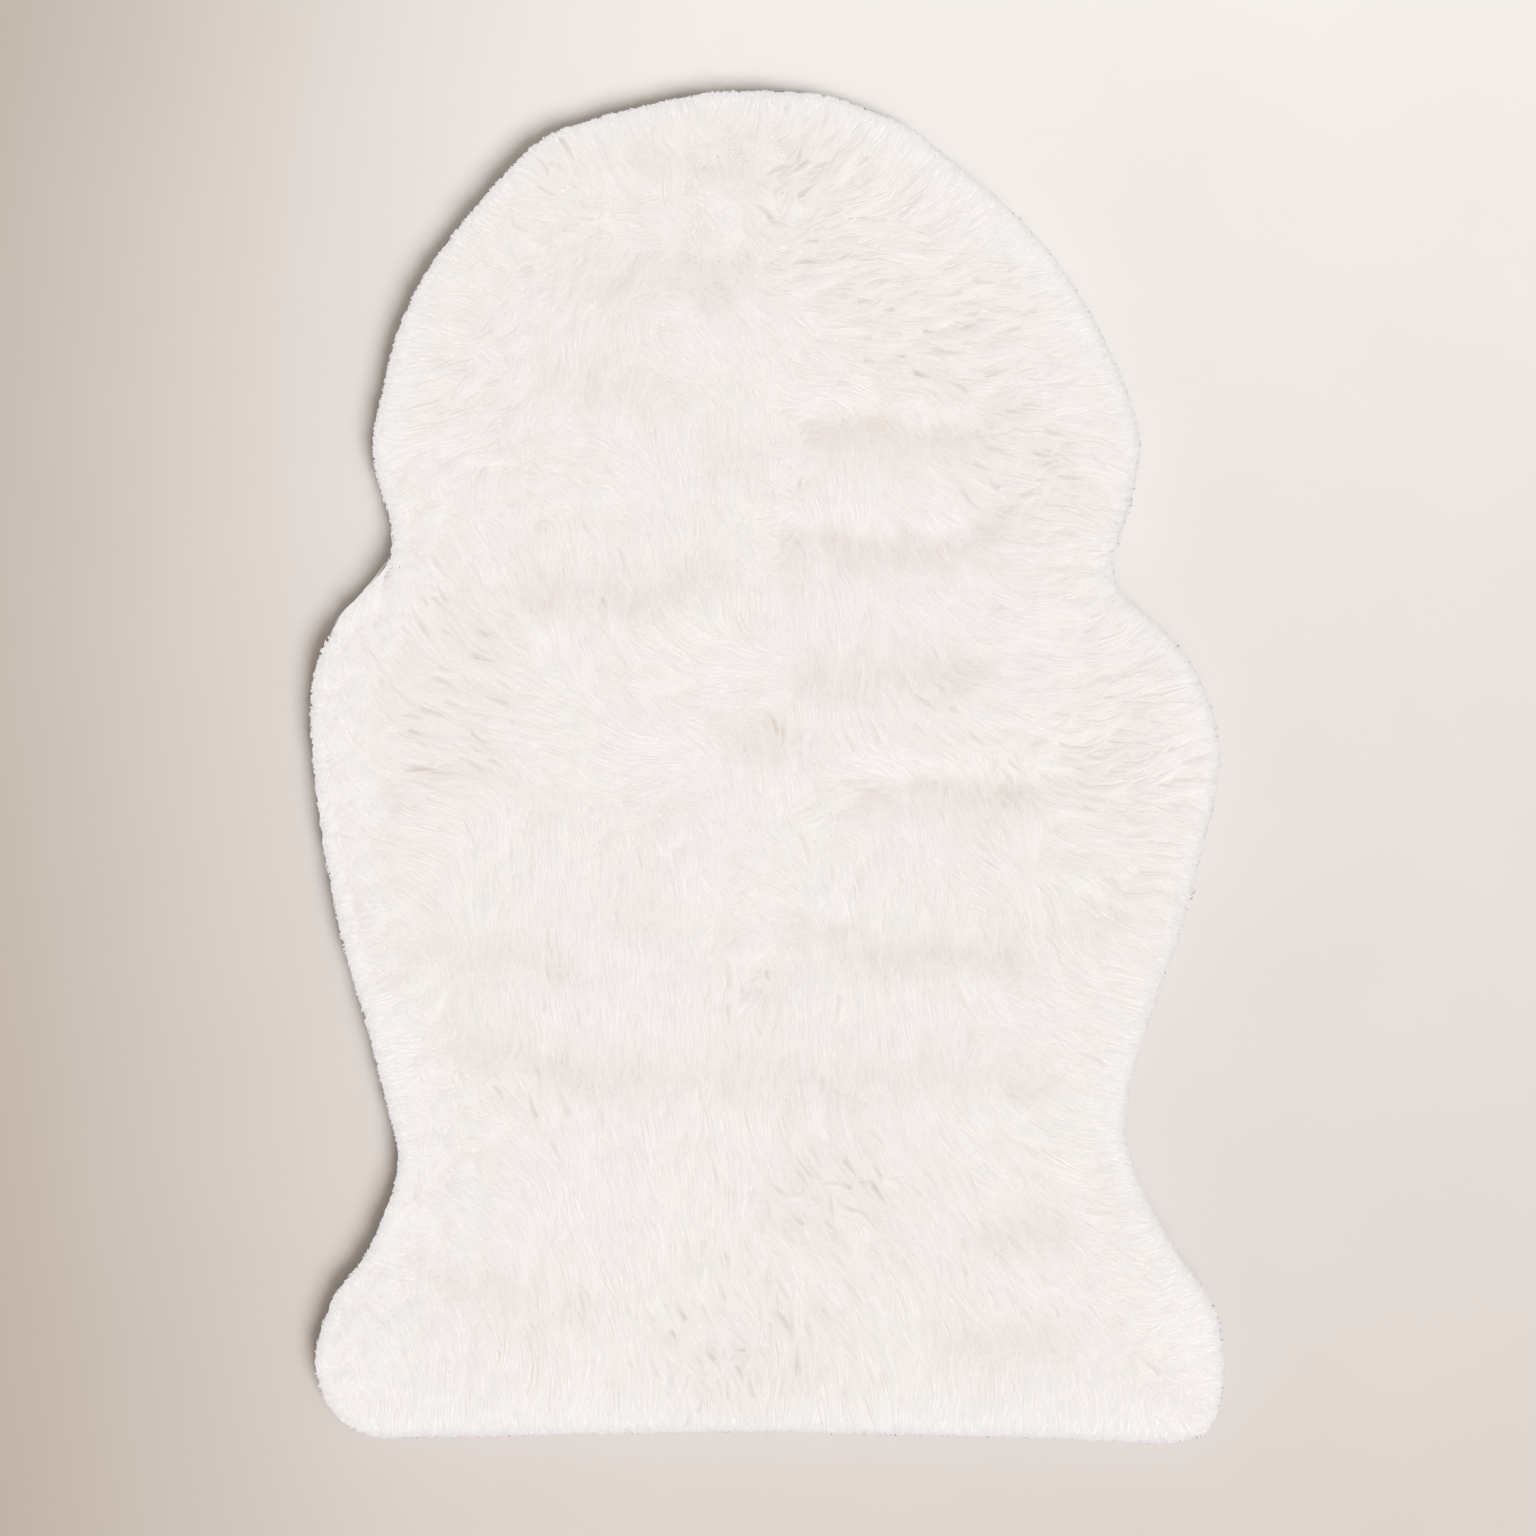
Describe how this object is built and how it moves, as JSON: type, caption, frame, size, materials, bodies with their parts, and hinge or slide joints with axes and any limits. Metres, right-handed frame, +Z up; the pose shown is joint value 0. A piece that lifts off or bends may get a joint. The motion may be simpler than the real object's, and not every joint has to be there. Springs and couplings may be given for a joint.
{
  "type": "sheepskin rug",
  "caption": "Natural sheepskin rug lying flat: one whole pelt with a rounded head end, drawn-in neck and waist, and a straight tail end, thick cream fleece on a thin hide.",
  "frame": {"origin": "on the floor under the middle of the pelt's outline", "axes": "+Y towards the head end, +X to the pelt's right seen from above, +Z up out of the fleece"},
  "size_m": [0.6076, 0.899, 0.0327],
  "materials": {
    "wool": "soft matt cream-white combed wool",
    "hide": "matt pale tan suede on the underside"
  },
  "bodies": {
    "root": {"sheepskin": "wool"}
  },
  "joints": []
}
